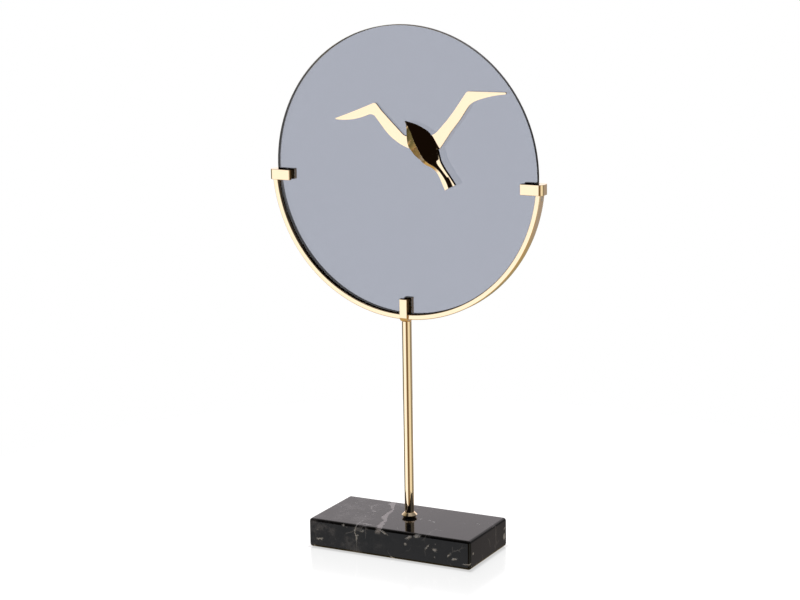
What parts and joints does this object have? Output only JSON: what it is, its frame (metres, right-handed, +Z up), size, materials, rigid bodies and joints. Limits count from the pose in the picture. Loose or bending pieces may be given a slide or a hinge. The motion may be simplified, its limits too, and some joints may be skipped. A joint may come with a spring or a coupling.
{
  "type": "mantel clock",
  "caption": "Table clock: smoked mirror disc held by clips and a half ring on a thin pole over a marble slab; a gilt bird's wings are the hands.",
  "frame": {"origin": "middle of the base on the surface that the clock stands on", "axes": "+Z up, the face looks along -Y, +X is the viewer's right"},
  "size_m": [0.315, 0.091, 0.5525],
  "materials": {
    "marble": "polished",
    "gilt_brass": "polished",
    "gilt_wing": "polished gilt",
    "gilt_body": "metallised gilt",
    "smoked_mirror": "polished, opaque backing",
    "soft_liner": "satin",
    "black_rubber": "matte",
    "steel": "zinc plated",
    "case_black": "fine texture",
    "gear_white": "satin",
    "brass_plain": "turned",
    "core_steel": "plain",
    "copper": "enamelled wire",
    "board_green": "solder mask",
    "epoxy": "glossy",
    "nickel": "nickel plated",
    "battery_wrap": "plain sleeve"
  },
  "bodies": {
    "stand": {"base_slab": "marble", "base_pads": "black_rubber", "base_washer": "steel", "base_bolt": "steel", "pole_tube": "gilt_brass", "pole_collar": "gilt_brass", "pole_foot_insert": "steel", "pole_head_insert": "steel", "mirror_disc": "smoked_mirror", "half_ring": "gilt_brass", "clip_left": "gilt_brass", "clip_right": "gilt_brass", "clip_bottom": "gilt_brass", "clip_liners": "soft_liner", "clip_dowels": "steel", "ring_screw": "steel", "hand_bush": "brass_plain", "dial_washer": "brass_plain", "dial_nut": "brass_plain", "seal_washer": "black_rubber", "case_front": "case_black", "case_back": "case_black", "case_screws": "steel", "stator": "core_steel", "coil_core": "core_steel", "coil_bobbin": "gear_white", "coil_winding": "copper", "circuit_board": "board_green", "board_chip": "epoxy", "quartz_crystal": "nickel", "battery_cell": "battery_wrap", "contact_positive": "nickel", "contact_negative": "nickel"},
    "minute_hand": {"minute_shaft": "brass_plain", "clutch_spring": "steel", "minute_wing": "gilt_wing", "bird_body": "gilt_body", "body_screws": "steel"},
    "hour_hand": {"hour_wheel": "gear_white", "hour_wing": "gilt_wing"},
    "minute_wheel": {"minute_wheel": "gear_white"},
    "set_knob": {"set_knob": "gear_white"},
    "centre_wheel": {"centre_wheel": "gear_white"},
    "third_wheel": {"third_wheel": "gear_white"},
    "seconds_wheel": {"seconds_wheel": "gear_white"},
    "step_wheel": {"step_wheel": "gear_white"},
    "rotor": {"rotor": "core_steel"}
  },
  "joints": [
    {"name": "minute_turn", "type": "hinge", "parent": "stand", "child": "minute_hand", "pos_m": [0.025, 0.0124, 0.4325], "axis": [0, 1, 0], "continuous": true},
    {"name": "hour_turn", "type": "hinge", "parent": "stand", "child": "hour_hand", "pos_m": [0.025, 0.0124, 0.4325], "axis": [0, 1, 0], "continuous": true},
    {"name": "minute_wheel_turn", "type": "hinge", "parent": "stand", "child": "minute_wheel", "pos_m": [0.01622, 0.0124, 0.43912], "axis": [0, 1, 0], "continuous": true},
    {"name": "set_knob_turn", "type": "hinge", "parent": "stand", "child": "set_knob", "pos_m": [0.0061, 0.0124, 0.4476], "axis": [0, 1, 0], "continuous": true},
    {"name": "rotor_turn", "type": "hinge", "parent": "stand", "child": "rotor", "pos_m": [0.02496, 0.0124, 0.44466], "axis": [0, 1, 0], "continuous": true},
    {"name": "step_turn", "type": "hinge", "parent": "stand", "child": "step_wheel", "pos_m": [0.03075, 0.0124, 0.44256], "axis": [0, 1, 0], "continuous": true},
    {"name": "seconds_turn", "type": "hinge", "parent": "stand", "child": "seconds_wheel", "pos_m": [0.03795, 0.0124, 0.44256], "axis": [0, 1, 0], "continuous": true},
    {"name": "third_turn", "type": "hinge", "parent": "stand", "child": "third_wheel", "pos_m": [0.03493, 0.0124, 0.43425], "axis": [0, 1, 0], "continuous": true},
    {"name": "centre_turn", "type": "hinge", "parent": "stand", "child": "centre_wheel", "pos_m": [0.025, 0.0124, 0.4325], "axis": [0, 1, 0], "continuous": true}
  ],
  "couplings": [
    {"joint": "hour_turn", "follows": "minute_turn", "ratio": 0.083333},
    {"joint": "minute_wheel_turn", "follows": "minute_turn", "ratio": -0.33333},
    {"joint": "set_knob_turn", "follows": "minute_turn", "ratio": 0.55556},
    {"joint": "step_turn", "follows": "rotor_turn", "ratio": -0.16667},
    {"joint": "seconds_turn", "follows": "rotor_turn", "ratio": 0.033333},
    {"joint": "third_turn", "follows": "rotor_turn", "ratio": -0.0044444},
    {"joint": "centre_turn", "follows": "rotor_turn", "ratio": 0.00055556}
  ]
}
